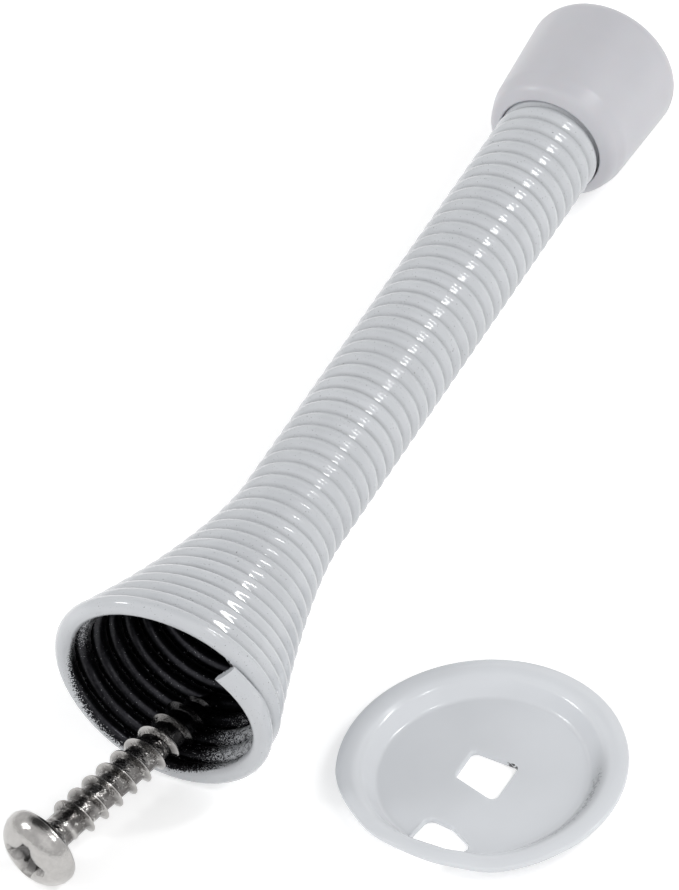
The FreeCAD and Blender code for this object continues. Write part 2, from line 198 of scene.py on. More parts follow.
def mesh_piece(name, verts, faces, material, nodes, attributes=None):
    """Makes a piece that rides on the part and stands for CAD nodes."""
    mesh = bpy.data.meshes.new(name)
    mesh.from_pydata([tuple(v) for v in verts], [], faces)
    mesh.validate()
    mesh.shade_smooth()
    for key, values in (attributes or {}).items():
        layer = mesh.attributes.new(key, "FLOAT", "POINT")
        layer.data.foreach_set("value", np.asarray(values, dtype=np.float32))
    mesh.materials.append(material)
    piece = bpy.data.objects.new(name, mesh)
    bpy.context.scene.collection.objects.link(piece)
    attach(piece, "root")
    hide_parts(*nodes)
    return piece


def mark_sharp(piece, marks):
    """Keeps the marked edges crisp."""
    sharp = piece.data.attributes.new("sharp_edge", "BOOLEAN", "EDGE")
    sharp.data.foreach_set("value", marks)


def smooth_step(value, low, high):
    """0 below low, 1 above high, and an even rise between."""
    share = min(1.0, max(0.0, (value - low) / (high - low)))
    return share * share * (3 - 2 * share)


def band(value, start, full, fade, end):
    """1 from full to fade, falling to 0 at start and at end."""
    return smooth_step(value, start, full) * (1 - smooth_step(value, fade, end))


def hump(distance, width):
    """1 at no distance, falling away over about a width."""
    return math.exp(-((distance / width) ** 2))


def loop_edges(start, count):
    """Edges of a closed loop of points that are numbered one after another."""
    return [(start + i, start + (i + 1) % count) for i in range(count)]


def rounded_path(corners, radii, steps=8, closed=False):
    """Polyline through corners, each one rounded to its radius."""
    count = len(corners)
    points = []
    for i, corner in enumerate(corners):
        here = Vector(corner)
        if radii[i] <= 0 or (not closed and i in (0, count - 1)):
            points.append(here)
            continue
        before = (Vector(corners[i - 1]) - here).normalized()
        after = (Vector(corners[(i + 1) % count]) - here).normalized()
        half = before.angle(after) / 2
        reach = radii[i] / math.tan(half)
        centre = here + (before + after).normalized() * (radii[i] / math.sin(half))
        start = here + before * reach - centre
        sweep = start.angle_signed(here + after * reach - centre)
        for k in range(steps + 1):
            part = sweep * k / steps
            points.append(centre + Matrix.Rotation(-part, 2) @ start)
    return points


def inside_outline(x, y, outline):
    """Whether a point lies inside a closed outline."""
    inside = False
    for i, a in enumerate(outline):
        b = outline[i - 1]
        if (a[1] > y) != (b[1] > y):
            if x < (b[0] - a[0]) * (y - a[1]) / (b[1] - a[1]) + a[0]:
                inside = not inside
    return inside


def widened(outline, margin):
    """The outline pushed out from its middle by about a margin."""
    middle = sum(outline, Vector((0, 0))) / len(outline)
    return [q + (q - middle).normalized() * margin for q in outline]


def turned(profile, segments):
    """Faces and points of a profile (radius, height) turned about Z."""
    verts = []
    faces = []
    count = len(profile)
    for s in range(segments):
        a = TURN * s / segments
        for radius, height in profile:
            verts.append((radius * math.cos(a), radius * math.sin(a), height))
    for s in range(segments):
        after = (s + 1) % segments
        for k in range(count - 1):
            a = s * count + k
            b = after * count + k
            faces.append((a, b, b + 1, a + 1))
    return verts, faces


# materials


class Nodes:
    """Adds nodes to a material and joins them."""

    def __init__(self, name):
        self.material = bpy.data.materials.new(name)
        self.material.use_nodes = True
        self.tree = self.material.node_tree
        self.tree.nodes.clear()
        self.output = self.tree.nodes.new("ShaderNodeOutputMaterial")

    def add(self, kind, values=None, **settings):
        node = self.tree.nodes.new("ShaderNode" + kind)
        for key, value in settings.items():
            setattr(node, key, value)
        for key, value in (values or {}).items():
            if isinstance(value, bpy.types.NodeSocket):
                self.tree.links.new(value, node.inputs[key])
            else:
                node.inputs[key].default_value = value
        return node

    def noise(self, scale, detail=2.0, roughness=0.5):
        values = {
            "Vector": self.add("TexCoord").outputs["Object"],
            "Scale": scale,
            "Detail": detail,
            "Roughness": roughness,
        }
        return self.add("TexNoise", values).outputs["Fac"]

    def attribute(self, name):
        return self.add("Attribute", attribute_name=name).outputs["Fac"]

    def math(self, operation, *values):
        node = self.add("Math", operation=operation)
        for socket, value in zip(node.inputs, values):
            if isinstance(value, bpy.types.NodeSocket):
                self.tree.links.new(value, socket)
            else:
                socket.default_value = value
        return node.outputs[0]

    def times(self, first, second):
        return self.math("MULTIPLY", first, second)

    def plus(self, first, second):
        return self.math("ADD", first, second)

    def spread(self, noise, factor):
        """Noise about zero, made stronger or weaker."""
        return self.times(self.math("SUBTRACT", noise, 0.5), factor)

    def ramp(self, value, low, high, to_low=0.0, to_high=1.0):
        values = {
            "Value": value,
            "From Min": low,
            "From Max": high,
            "To Min": to_low,
            "To Max": to_high,
        }
        return self.add("MapRange", values, clamp=True).outputs["Result"]

    def mix(self, share, first, second):
        node = self.add("Mix", data_type="RGBA")
        for index, value in ((0, share), (6, first), (7, second)):
            if isinstance(value, bpy.types.NodeSocket):
                self.tree.links.new(value, node.inputs[index])
            else:
                node.inputs[index].default_value = value
        return node.outputs[2]

    def bump(self, height, strength, distance):
        values = {"Height": height, "Strength": strength, "Distance": distance}
        return self.add("Bump", values).outputs["Normal"]

    def shader(self, values):
        shader = self.add("BsdfPrincipled", values)
        self.tree.links.new(shader.outputs["BSDF"], self.output.inputs["Surface"])
        return self.material


# tones beside the paint and the metals that a user sets
WIRE_SHEEN = (0.04, 0.04, 0.046, 1)
# dark cut edge: painted shade at the hole's far corner, and darker at the slot's right
# side
DARK_CUT_EDGE = (0.05, 0.05, 0.055, 1)
# painted shade in the thread roots, standing in for dark reflections
ROOT_SHADE_TONE = (0.05, 0.045, 0.043, 1)
# painted glints in the thread roots
GLINT_TONE = (0.6, 0.59, 0.57, 1)
# painted shade in the cross recess and painted shadow deep in the mouth
DEEP_SHADE_TONE = (0.012, 0.012, 0.014, 1)


def scaled(tone, factor):
    """A tone made lighter or darker."""
    return (tone[0] * factor, tone[1] * factor, tone[2] * factor, 1)


def wire_finish(finishes):
    """Gloss paint outside with painted shade between the turns, dark bare wire with
    overspray inside.
    """
    n = Nodes("painted_wire")
    paint = tuple(finishes.paint)
    soft = n.noise(160.0, 3.0)
    fine = n.noise(2600.0, 4.0, 0.65)
    grain = n.noise(9000.0, 2.0)
    # painted shade: the spring's copy of the shared paint is set darker, its tone
    # varying at random
    tone = n.mix(n.ramp(soft, 0.3, 0.7), scaled(paint, 0.83), scaled(paint, 0.91))
    # painted shade darkens the paint between the turns
    between = n.ramp(n.attribute("groove"), 0.55, 1.0)
    thinning_and_shade = n.times(between, n.ramp(soft, 0.4, 0.7, 0.3, 0.65))
    tone = n.mix(thinning_and_shade, tone, scaled(paint, 0.45))
    split = n.ramp(n.attribute("hairline"), 0.78, 0.95)
    crack = n.times(split, n.ramp(fine, 0.42, 0.52))
    tone = n.mix(n.times(crack, 0.7), tone, scaled(paint, 0.2))
    # the paint ends raggedly on the bare wire, and overspray lies there in specks
    ragged = n.plus(n.attribute("bare_and_shade"), n.spread(grain, 2.2))
    is_bare = n.ramp(ragged, 0.42, 0.58)
    specks = n.plus(n.attribute("dust"), n.spread(grain, 1.0))
    is_dust = n.times(n.ramp(specks, 0.44, 0.56), n.ramp(fine, 0.3, 0.5))
    metal = n.mix(n.ramp(fine, 0.3, 0.75), tuple(finishes.bare_wire), WIRE_SHEEN)
    metal = n.mix(n.times(is_dust, 0.9), metal, scaled(paint, 0.75))
    surface = n.plus(n.times(soft, 0.6), n.times(fine, 0.02))
    return n.shader(
        {
            "Base Color": n.mix(is_bare, tone, metal),
            "Metallic": n.times(is_bare, n.ramp(is_dust, 0.0, 1.0, 1.0, 0.0)),
            "Roughness": n.ramp(is_bare, 0.0, 1.0, 0.09, 0.33),
            "Coat Weight": 0.2,
            "Coat Roughness": 0.04,
            "Normal": n.bump(surface, 0.25, 0.12 * MM),
        }
    )


def plate_finish(finishes):
    """Gloss paint on pressed sheet, worn through in specks, with painted shade on the
    right inner wall and at the hole's far cut edge.
    """
    n = Nodes("painted_sheet")
    paint = tuple(finishes.paint)
    soft = n.noise(140.0, 3.0)
    fine = n.noise(3800.0, 4.0, 0.65)
    # painted light: the plate's copy of the shared paint is set lighter, its tone
    # varying at random
    tone = n.mix(n.ramp(soft, 0.3, 0.7), scaled(paint, 1.03), scaled(paint, 1.08))
    shade_and_wear = n.attribute("shade_and_wear")
    # painted shade: the right inner wall is darkened where it faces away from the light
    tone = n.mix(n.times(shade_and_wear, 0.65), tone, scaled(paint, 0.4))
    # real wear: the paint there is worn through in specks
    worn = n.plus(shade_and_wear, n.spread(fine, 1.8))
    tone = n.mix(n.ramp(worn, 0.85, 1.1, 0.0, 0.7), tone, scaled(paint, 0.22))
    # dark cut edges: painted shade at the hole's far corner, and darker at the slot's
    # right side
    bare_and_shade = n.plus(n.attribute("cut"), n.spread(fine, 1.0))
    tone = n.mix(n.ramp(bare_and_shade, 0.62, 0.72), tone, DARK_CUT_EDGE)
    return n.shader(
        {
            "Base Color": tone,
            "Roughness": n.ramp(soft, 0.3, 0.7, 0.16, 0.22),
            "Coat Weight": 0.25,
            "Coat Roughness": 0.08,
            "Normal": n.bump(soft, 0.2, 0.2 * MM),
        }
    )


def tip_finish(finishes):
    """White rubber with a satin skin."""
    n = Nodes("white_rubber")
    rubber = tuple(finishes.rubber)
    soft = n.noise(220.0, 3.0)
    fine = n.noise(5200.0, 3.0)
    tone = n.mix(n.ramp(soft, 0.3, 0.7), scaled(rubber, 0.98), scaled(rubber, 1.02))
    surface = n.plus(n.times(soft, 0.5), n.times(fine, 0.2))
    return n.shader(
        {
            "Base Color": tone,
            "Roughness": n.ramp(soft, 0.3, 0.7, 0.31, 0.36),
            "Subsurface Weight": 0.06,
            "Subsurface Scale": 1.5 * MM,
            "Normal": n.bump(surface, 0.08, 0.1 * MM),
        }
    )


def screw_finish(finishes):
    """Bright drawn steel, scuffed between the threads, with painted shade and painted
    glints in the thread roots and painted shade in the recess and deep in the mouth.
    """
    n = Nodes("bright_steel")
    metal = tuple(finishes.screw_metal)
    soft = n.noise(420.0, 4.0, 0.6)
    fine = n.noise(2400.0, 4.0, 0.7)
    root = n.attribute("root")
    shaded_root = n.times(root, n.ramp(soft, 0.3, 0.6, 0.45, 1.0))
    tone = n.mix(n.ramp(fine, 0.3, 0.7), metal, scaled(metal, 1.2))
    # painted shade: the thread roots are darkened, standing in for dark reflections
    tone = n.mix(n.times(shaded_root, 0.85), tone, ROOT_SHADE_TONE)
    # painted glints: light specks in the thread roots
    glint = n.times(root, n.ramp(fine, 0.56, 0.66))
    tone = n.mix(glint, tone, GLINT_TONE)
    # painted shade in the cross recess and painted shadow on the shank deep in the
    # mouth
    tone = n.mix(n.attribute("painted_shade"), tone, DEEP_SHADE_TONE)
    scuff = n.times(root, n.spread(soft, 3.5))
    surface = n.plus(scuff, n.times(fine, 0.25))
    return n.shader(
        {
            "Base Color": tone,
            "Metallic": 1.0,
            "Roughness": n.ramp(fine, 0.3, 0.7, 0.12, 0.24),
            "Normal": n.bump(surface, 0.5, 0.2 * MM),
        }
    )


# spring


def flare_share(s, along):
    """1 at the mouth, falling to 0 where the straight body begins."""
    return max(0.0, 1 - along / s.flare_length)


def flare_radius(s, along):
    """Radius of the wire's centre line at a distance along the axis."""
    body = (s.body_diameter - s.wire_diameter) / 2
    mouth = (s.mouth_diameter - s.wire_diameter) / 2
    return body + (mouth - body) * flare_share(s, along) ** s.flare_power


def flare_slope(s, along):
    """How much the radius changes for a distance along the axis."""
    step = 0.001 * MM
    return (flare_radius(s, along + step) - flare_radius(s, along - step)) / (2 * step)


def advance(s, along, travel):
    """Distance along the axis after a travel on the flare's curve."""
    middle = along + travel / 2 / math.hypot(1, flare_slope(s, along))
    return along + travel / math.hypot(1, flare_slope(s, middle))


def wire_centre(s, turns, along):
    """Radius and axial place of the wire's centre, its first stretch drawn in."""
    radius = flare_radius(s, along)
    if turns >= s.draw_turns:
        return radius, along
    share = (1 - turns / s.draw_turns) ** 2
    radius -= s.draw_in * share
    steps = 14
    after = along
    for _ in range(steps):
        after = advance(s, after, s.pitch / steps)
    rise = flare_radius(s, after) - radius
    apart = s.pitch + s.draw_gap * share
    return radius, after - math.sqrt(apart**2 - rise**2)


OUTER = 12  # steps of the section on the painted side
INNER = 10  # steps of the section on the bare side
OVERLAP = 1.02  # how far the paint of a turn reaches into the next one
FILLED = 0.08  # share of a turn over which the paint begins to fill the groove
AXIS = Vector((0, 0, 1))

# one hairline in the paint: start, full, fade and end, in turns and in degrees round
CRACK_TURNS = (18, 21, 27, 30)
CRACK_PLACE = (236, 252, 282, 298)


def wire_section(s, front, back, reach_front, reach_back):
    """Section of the painted wire: (along, outward, angle, dip) for each point.

    front and back say how far the paint fills the groove on each side, and the
    reaches are half the distances to the turns on either side.
    """
    r = s.wire_diameter / 2
    points = []
    for k in range(OUTER + 1):
        u = 2 * k / OUTER - 1
        fill, reach = (front, reach_front) if u < 0 else (back, reach_back)
        a = u * math.pi / 2
        dip = (u * u + (1 - math.cos(math.pi * u)) / 2) / 2
        x = (1 - fill) * r * math.sin(a) + fill * u * reach
        y = (1 - fill) * r * math.cos(a) + fill * (r - s.groove * dip)
        points.append((x, y, math.degrees(a), dip * fill))
    for k in range(1, INNER):
        a = math.pi / 2 + math.pi * k / INNER
        points.append((r * math.sin(a), r * math.cos(a), math.degrees(a), 0.0))
    return points


def wire_line(s, steps):
    """Centre points of the wire: (turns, outward, point) one after another."""
    last = s.flare_length + s.body_length + s.hidden_length - s.wire_diameter / 2
    line = []
    along = 0.0
    while along < last:
        turns = len(line) / steps
        radius, place = wire_centre(s, turns, along)
        a = -s.end_angle + TURN * turns
        out = Vector((math.cos(a), math.sin(a), 0))
        share = flare_share(s, along)
        place -= s.top_lead * ((1 - out.y) / 2) ** 2 * share
        point = out * radius + AXIS * place
        point.x -= s.left_shift * share**2
        line.append((turns, out, point))
        along = advance(s, along, s.pitch / steps)
    return line


def wrapped(degrees):
    """The same direction between -180 and 180 degrees."""
    return (degrees + 180) % 360 - 180


def bare_share(turns, around, section_angle):
    """1 on bare wire inside, 0 on paint.

    around is the place round the mouth in degrees: 0 right, 90 below, 180 left.
    """
    if turns >= 1:
        return 1.0 if abs(wrapped(section_angle)) > 90 else 0.0
    from_outside = -section_angle % 360
    if from_outside > 270:
        return 0.0
    # the paint stops short of the inside, and raggedly, at the lower left
    limit = 188 - 68 * hump(around - 126, 55)
    soft = 10 + 45 * hump(around - 140, 50)
    return smooth_step(from_outside, limit - soft, limit + soft)


def dust_share(turns, around):
    """Overspray on the bare wire, at the lower right and at the left of the mouth."""
    right = hump(wrapped(around - 42), 48) * (1 - smooth_step(turns, 1.5, 6.0))
    left = hump(wrapped(around - 205), 38) * (1 - smooth_step(turns, 1.0, 4.5))
    return 0.62 * right + 0.52 * left


def lying_down(s):
    """Moves the spring from its own axis, mouth at the origin, to the floor."""
    turn = Matrix.Rotation(-math.pi / 2 - s.lean, 4, "X")
    return Matrix.Translation((AXIS_X, s.mouth_y, s.axis_height)) @ turn


def build_spring(s):
    """The wire, ring after ring, and where it is bare, dusty, grooved or cracked."""
    steps = 56
    line = wire_line(s, steps)
    rings = len(line)
    drawn = s.draw_turns * 1.5
    verts = []
    bare_and_shade = []
    dust = []
    groove = []
    hairline = []
    for i, (turns, out, centre) in enumerate(line):
        ahead = line[i + steps][2] - centre if i + steps < rings else None
        behind = centre - line[i - steps][2] if i >= steps else None
        ahead = ahead or behind
        behind = behind or ahead
        stance = ahead + behind
        if turns < drawn:
            # the drawn end keeps its own square stance
            share = (1 - turns / drawn) ** 2
            after = line[steps * 2 + i][2] - line[steps + i][2]
            stance = after * (1 - share) + AXIS * s.pitch * share
        elif 1 <= turns < 1 + drawn:
            stance = ahead
        along_wire = stance.normalized()
        normal = (out - along_wire * out.dot(along_wire)).normalized()
        front = smooth_step(turns, 1.0, 1.0 + FILLED)
        back = smooth_step(turns, 0.0, FILLED)
        around = math.degrees(math.atan2(out.y, out.x)) % 360
        crack = band(turns, *CRACK_TURNS) * band(around, *CRACK_PLACE)
        reaches = (OVERLAP * behind.length / 2, OVERLAP * ahead.length / 2)
        toward = (behind.normalized(), ahead.normalized())
        for x, y, section_angle, dip in wire_section(s, front, back, *reaches):
            verts.append(centre + toward[x > 0] * x + normal * y)
            painted = abs(section_angle) <= 90 and (front if x < 0 else back) > 0.5
            bare_and_shade.append(0.0 if painted else bare_share(turns, around, section_angle))
            dust.append(dust_share(turns, around))
            groove.append(dip)
            hairline.append(crack if dip > 0.95 else 0.0)
    count = OUTER + INNER
    faces = []
    for ring in range(rings - 1):
        a = ring * count
        b = a + count
        for k in range(count):
            after = (k + 1) % count
            faces.append((a + k, a + after, b + after, b + k))
    faces.append(tuple(range(count - 1, -1, -1)))
    faces.append(tuple(range((rings - 1) * count, rings * count)))
    place = lying_down(s)
    verts = [place @ v for v in verts]
    attributes = {"bare_and_shade": bare_and_shade, "dust": dust, "groove": groove, "hairline": hairline}
    return verts, faces, attributes, rings, count


class DOORSTOP_OT_spring(bpy.types.Operator):
    """Winds the painted spring with its flared mouth"""

    bl_idname = "door_stop.spring"
    bl_label = "Wind Spring"

    def execute(self, context):
        s = context.scene.door_stop_spring
        verts, faces, attributes, rings, count = build_spring(s)
        material = wire_finish(context.scene.door_stop_finishes)
        piece = mesh_piece(
            "coil_spring",
            verts,
            faces,
            material,
            ["spring"],
            attributes,
        )
        groove = attributes["groove"]
        first = range(count)
        final = range((rings - 1) * count, rings * count)
        marks = []
        for edge in piece.data.edges:
            a, b = edge.vertices
            in_groove = a % count in (0, OUTER) and groove[a] > 0.5
            at_end = (a in first and b in first) or (a in final and b in final)
            marks.append(at_end or (abs(a - b) == count and in_groove))
        mark_sharp(piece, marks)
        return {"FINISHED"}


# soft tip


class DOORSTOP_OT_tip(bpy.types.Operator):
    """Moulds the soft tip over the narrow end of the spring"""

    bl_idname = "door_stop.tip"
    bl_label = "Mould Tip"

    def execute(self, context):
        s = context.scene.door_stop_spring
        t = context.scene.door_stop_tip
        rim = t.rim_diameter / 2
        face = t.face_diameter / 2
        bore = t.bore_diameter / 2
        lip_bore = s.body_diameter / 2 + 0.02 * MM
        lip_edge = 0.12 * MM
        waist = 2.4 * MM
        corners = [
            (bore, s.hidden_length),
            (bore, t.lip),
            (lip_bore, -t.lip),
            (rim - t.lip / 2, -t.lip / 3),
            (rim, t.lip * 1.3),
            (face, t.length),
            (0, t.length),
        ]
        radii = [0, 0, lip_edge, t.rim_rounding, waist, t.face_rounding, 0]
        verts, faces = turned(rounded_path(corners, radii, 10), 128)
        seat = Matrix.Translation((0, 0, s.flare_length + s.body_length))
        place = lying_down(s) @ seat
        verts = [place @ Vector(v) for v in verts]
        material = tip_finish(context.scene.door_stop_finishes)
        mesh_piece("rubber_tip", verts, faces, material, ["bumper_tip"])
        return {"FINISHED"}


# base plate


EDGE_INSET = 0.12 * MM  # room for the rounded outer edge
BENDS = (0, 0.55 * MM, 0.9 * MM, 1.3 * MM, 0)
FLOOR_RINGS = 14
WALL_RINGS = 8
PLATE_SEGMENTS = 144

# how dark the cut edges are painted, painted shade at the hole's far corner and darker
# at the slot's right side: x from and to, y from and to in millimetres, and how dark
CUT_MARKS = ((0.6, 2.3, 1.2, 2.3, 0.74), (1.6, 2.6, -7.8, -6.9, 0.7))
CUT_ELSEWHERE = 0.12


def plate_profile(p):
    """Radii and heights of the dish's upper side, its bends rounded."""
    corners = [
        (0, p.sheet),
        (p.floor_diameter / 2, p.sheet),
        (p.wall_diameter / 2, p.height - p.wall_drop),
        (p.crest_diameter / 2, p.height),
        (p.diameter / 2 - EDGE_INSET, p.height - p.edge_drop),
    ]
    path = rounded_path(corners, BENDS, 6)
    return [q[0] for q in path], [q[1] for q in path]


def around_plate(x, y):
    """Direction of a point from the plate's middle in degrees, and its radius."""
    return math.degrees(math.atan2(y, x)), math.hypot(x, y)


def rim_lift(p, x, y):
    """How far the punched slot raised the rim above it."""
    around, radius = around_plate(x, y)
    rise = band(around, -128, -100, -78, -62)
    low = band(around, -68, -56, -44, -32)
    reach = smooth_step(radius, p.floor_diameter / 2, p.crest_diameter / 2)
    return (p.rim_lift * rise - 0.14 * MM * low) * reach


def rim_dent(p, x, y):
    """How far the punched slot pulled the rim inwards beside it."""
    around, radius = around_plate(x, y)
    pull = band(around, -160, -125, -98, -72)
    near = band(around, -98, -72, -50, -20)
    reach = smooth_step(radius, p.floor_diameter / 2, p.diameter / 2)
    return p.rim_dent * (pull + 0.45 * near) * reach


def hole_outline(p):
    """Square hole, struck a little askew."""
    half = p.hole_side / 2
    corners = [(-1.13, -0.42), (1.04, -1.19), (1.19, 1.04), (-1.04, 1.27)]
    corners = [(x * half, y * half) for x, y in corners]
    return rounded_path(corners, [p.hole_rounding] * 4, 6, closed=True)


def slot_outline(p):
    """Slot through the foot of the wall, its inner side sloping and bowed."""
    width = p.slot_width / 2
    inner = p.slot_inner
    floor = p.floor_diameter / 2
    rise = (p.wall_diameter / 2 - floor) / (p.height - p.wall_drop - p.sheet)
    outer = min(p.slot_outer, floor + rise * (p.slot_height - p.sheet / 2))
    corners = [
        (-1.09 * width, -outer),
        (0.98 * width, -outer),
        (1.04 * width, -1.22 * inner),
        (0.05 * width, -0.99 * inner),
        (-1.12 * width, -0.905 * inner),
    ]
    radii = [share * p.slot_rounding for share in (1.0, 1.0, 0.9, 1.4, 0.9)]
    return rounded_path(corners, radii, 6, closed=True)


def sheet_mesh(verts, faces, normals, sheet):
    """Closes an upper side into a sheet with rounded cut edges.

    Returns all points, all faces and, for each point, whether it is on a cut edge.
    """
    count = len(verts)
    points = list(verts)
    points += [v - n * sheet for v, n in zip(verts, normals)]
    solid = [tuple(f) for f in faces]
    solid += [tuple(i + count for i in reversed(f)) for f in faces]
    directed = {}
    for f in faces:
        for i, a in enumerate(f):
            directed[(a, f[(i + 1) % len(f)])] = True
    border = [(a, b) for a, b in directed if (b, a) not in directed]
    outward = {}
    for a, b in border:
        along = (verts[b] - verts[a]).normalized()
        away = along.cross(normals[a])
        for v in (a, b):
            outward[v] = outward.get(v, Vector((0, 0, 0))) + away
    levels = 5
    rim = {}
    for v, away in outward.items():
        away = away.normalized()
        middle = verts[v] - normals[v] * sheet / 2
        row = [v]
        for k in range(1, levels):
            turn = math.pi * k / levels
            step = normals[v] * math.cos(turn) + away * math.sin(turn) * 0.6
            row.append(len(points))
            points.append(middle + step * sheet / 2)
        row.append(v + count)
        rim[v] = row
    for a, b in border:
        for k in range(levels):
            solid.append((rim[a][k + 1], rim[b][k + 1], rim[b][k], rim[a][k]))
    cut = [0.0 if i < 2 * count else 1.0 for i in range(len(points))]
    return points, solid, cut


def build_plate(p):
    """The pressed sheet with its openings, and where it is cut."""
    bend_radii, bend_heights = plate_profile(p)
    rows = list(zip(bend_radii, bend_heights))
    for k in range(1, FLOOR_RINGS):
        rows.append((k * p.floor_diameter / 2 / FLOOR_RINGS, p.sheet))
    wall = p.crest_diameter - p.floor_diameter
    for k in range(1, WALL_RINGS):
        radius = (p.floor_diameter + wall * k / WALL_RINGS) / 2
        rows.append((radius, float(np.interp(radius, bend_radii, bend_heights))))
    rows.sort(key=lambda row: row[0])
    radii = [row[0] for row in rows]
    heights = [row[1] for row in rows]

    def height(x, y):
        return float(np.interp(math.hypot(x, y), radii, heights)) + rim_lift(p, x, y)

    openings = (hole_outline(p), slot_outline(p))
    coords = []
    edges = []
    for outline in openings:
        edges += loop_edges(len(coords), len(outline))
        coords += outline
    grown = [widened(outline, 0.12 * MM) for outline in openings]
    for radius in radii[1:]:
        for k in range(PLATE_SEGMENTS):
            a = TURN * k / PLATE_SEGMENTS
            x = radius * math.cos(a)
            y = radius * math.sin(a)
            if not any(inside_outline(x, y, outline) for outline in grown):
                coords.append(Vector((x, y)))
    flat, _, triangles, *_ = delaunay_2d_cdt(coords, edges, [], 0, 1e-9)
    kept = []
    for f in triangles:
        x = sum(flat[i][0] for i in f) / len(f)
        y = sum(flat[i][1] for i in f) / len(f)
        if any(inside_outline(x, y, outline) for outline in openings):
            continue
        a, b, c = (flat[i] for i in f[:3])
        turn = (b - a).cross(c - a)
        kept.append(tuple(f) if turn > 0 else tuple(reversed(f)))
    used = sorted({i for f in kept for i in f})
    number = {old: new for new, old in enumerate(used)}
    kept = [tuple(number[i] for i in f) for f in kept]
    verts = []
    normals = []
    step = 0.03 * MM
    for old in used:
        x, y = flat[old]
        inward = 1 - rim_dent(p, x, y) / max(math.hypot(x, y), MM)
        verts.append(Vector((x * inward, y * inward, height(x, y))))
        slope_x = (height(x + step, y) - height(x - step, y)) / (2 * step)
        slope_y = (height(x, y + step) - height(x, y - step)) / (2 * step)
        if math.hypot(x, y) > radii[-1] - step:
            ratio = (heights[-1] - heights[-2]) / (radii[-1] - radii[-2])
            slope_x = ratio * x / math.hypot(x, y)
            slope_y = ratio * y / math.hypot(x, y)
        normals.append(Vector((-slope_x, -slope_y, 1)).normalized())
    return sheet_mesh(verts, kept, normals, p.sheet)


def wall_shade_and_wear(p, x, y):
    """Painted shade and speckled wear on the right inner wall."""
    around, radius = around_plate(x, y)
    from_wall = radius - p.floor_diameter / 2 - 0.7 * MM
    return band(around, -60, -25, 8, 45) * hump(from_wall, 0.75 * MM)


def cut_darkness(x, y):
    """How dark a cut edge is painted: painted shade at the hole's far corner, and
    darker at the slot's right side.
    """
    for left, right, near, far, bare_and_shade in CUT_MARKS:
        if left < x / MM < right and near < y / MM < far:
            return bare_and_shade
    return CUT_ELSEWHERE


class DOORSTOP_OT_plate(bpy.types.Operator):
    """Presses the base plate and punches its hole and slot"""

    bl_idname = "door_stop.plate"
    bl_label = "Press Plate"

    def execute(self, context):
        p = context.scene.door_stop_plate
        verts, faces, cut = build_plate(p)
        upper = p.sheet * 0.9
        attributes = {
            # painted shade and speckled wear on the right inner wall
            "shade_and_wear": [wall_shade_and_wear(p, v.x, v.y) if v.z > upper else 0.0 for v in verts],
            # dark cut edges: painted shade at the hole's far corner, darker at the
            # slot's right side
            "cut": [c * cut_darkness(v.x, v.y) for c, v in zip(cut, verts)],
        }
        material = plate_finish(context.scene.door_stop_finishes)
        mesh_piece(
            "pressed_plate",
            verts,
            faces,
            material,
            ["base_plate"],
            attributes,
        )
        return {"FINISHED"}


# wood screw


def screw_place(w):
    """Moves the screw from its own axis, head's top at the origin, to its place."""
    aim = Vector(
        (
            math.sin(w.turn) * math.cos(w.climb),
            math.cos(w.turn) * math.cos(w.climb),
            math.sin(w.climb),
        )
    )
    turn = Vector((0, 0, 1)).rotation_difference(aim).to_matrix().to_4x4()
    return Matrix.Translation((w.x, w.y, w.z)) @ turn


HEAD_FLAT = 0.30  # share of the head's radius that is nearly flat
HEAD_CROWN = 0.06 * MM
HEAD_SEGMENTS = 96
HEAD_RINGS = 26
RECESS_ROOM = 1.09  # keeps the dome's points clear of the recess's edge


def head_height(w, radius):
    """How far the domed top lies below its highest point, at a radius."""
    half = w.head / 2
    flat = half * HEAD_FLAT
    if radius <= flat:
        return HEAD_CROWN * (radius / half) ** 2
    share = min(1.0, (radius - flat) / (half - flat))
    drop = 0.80 * w.head_height
    crown = HEAD_CROWN * HEAD_FLAT**2
    return crown + drop * (1 - math.sqrt(max(0.0, 1 - share**2.3)))


def cross_outline(w, span, arm):
    """Closed outline of the cross recess, its inner corners swept round."""
    corners = []
    radii = []
    inner = arm * 1.55
    for k in range(4):
        turn = Matrix.Rotation(w.recess_turn + k * math.pi / 2, 2)
        for x, y, radius in (
            (span, -arm, arm * 0.35),
            (span, arm, arm * 0.35),
            (inner, inner, arm * 2.3),
        ):
            corners.append(turn @ Vector((x, y)))
            radii.append(radius)
    return rounded_path(corners, radii, 7, closed=True)


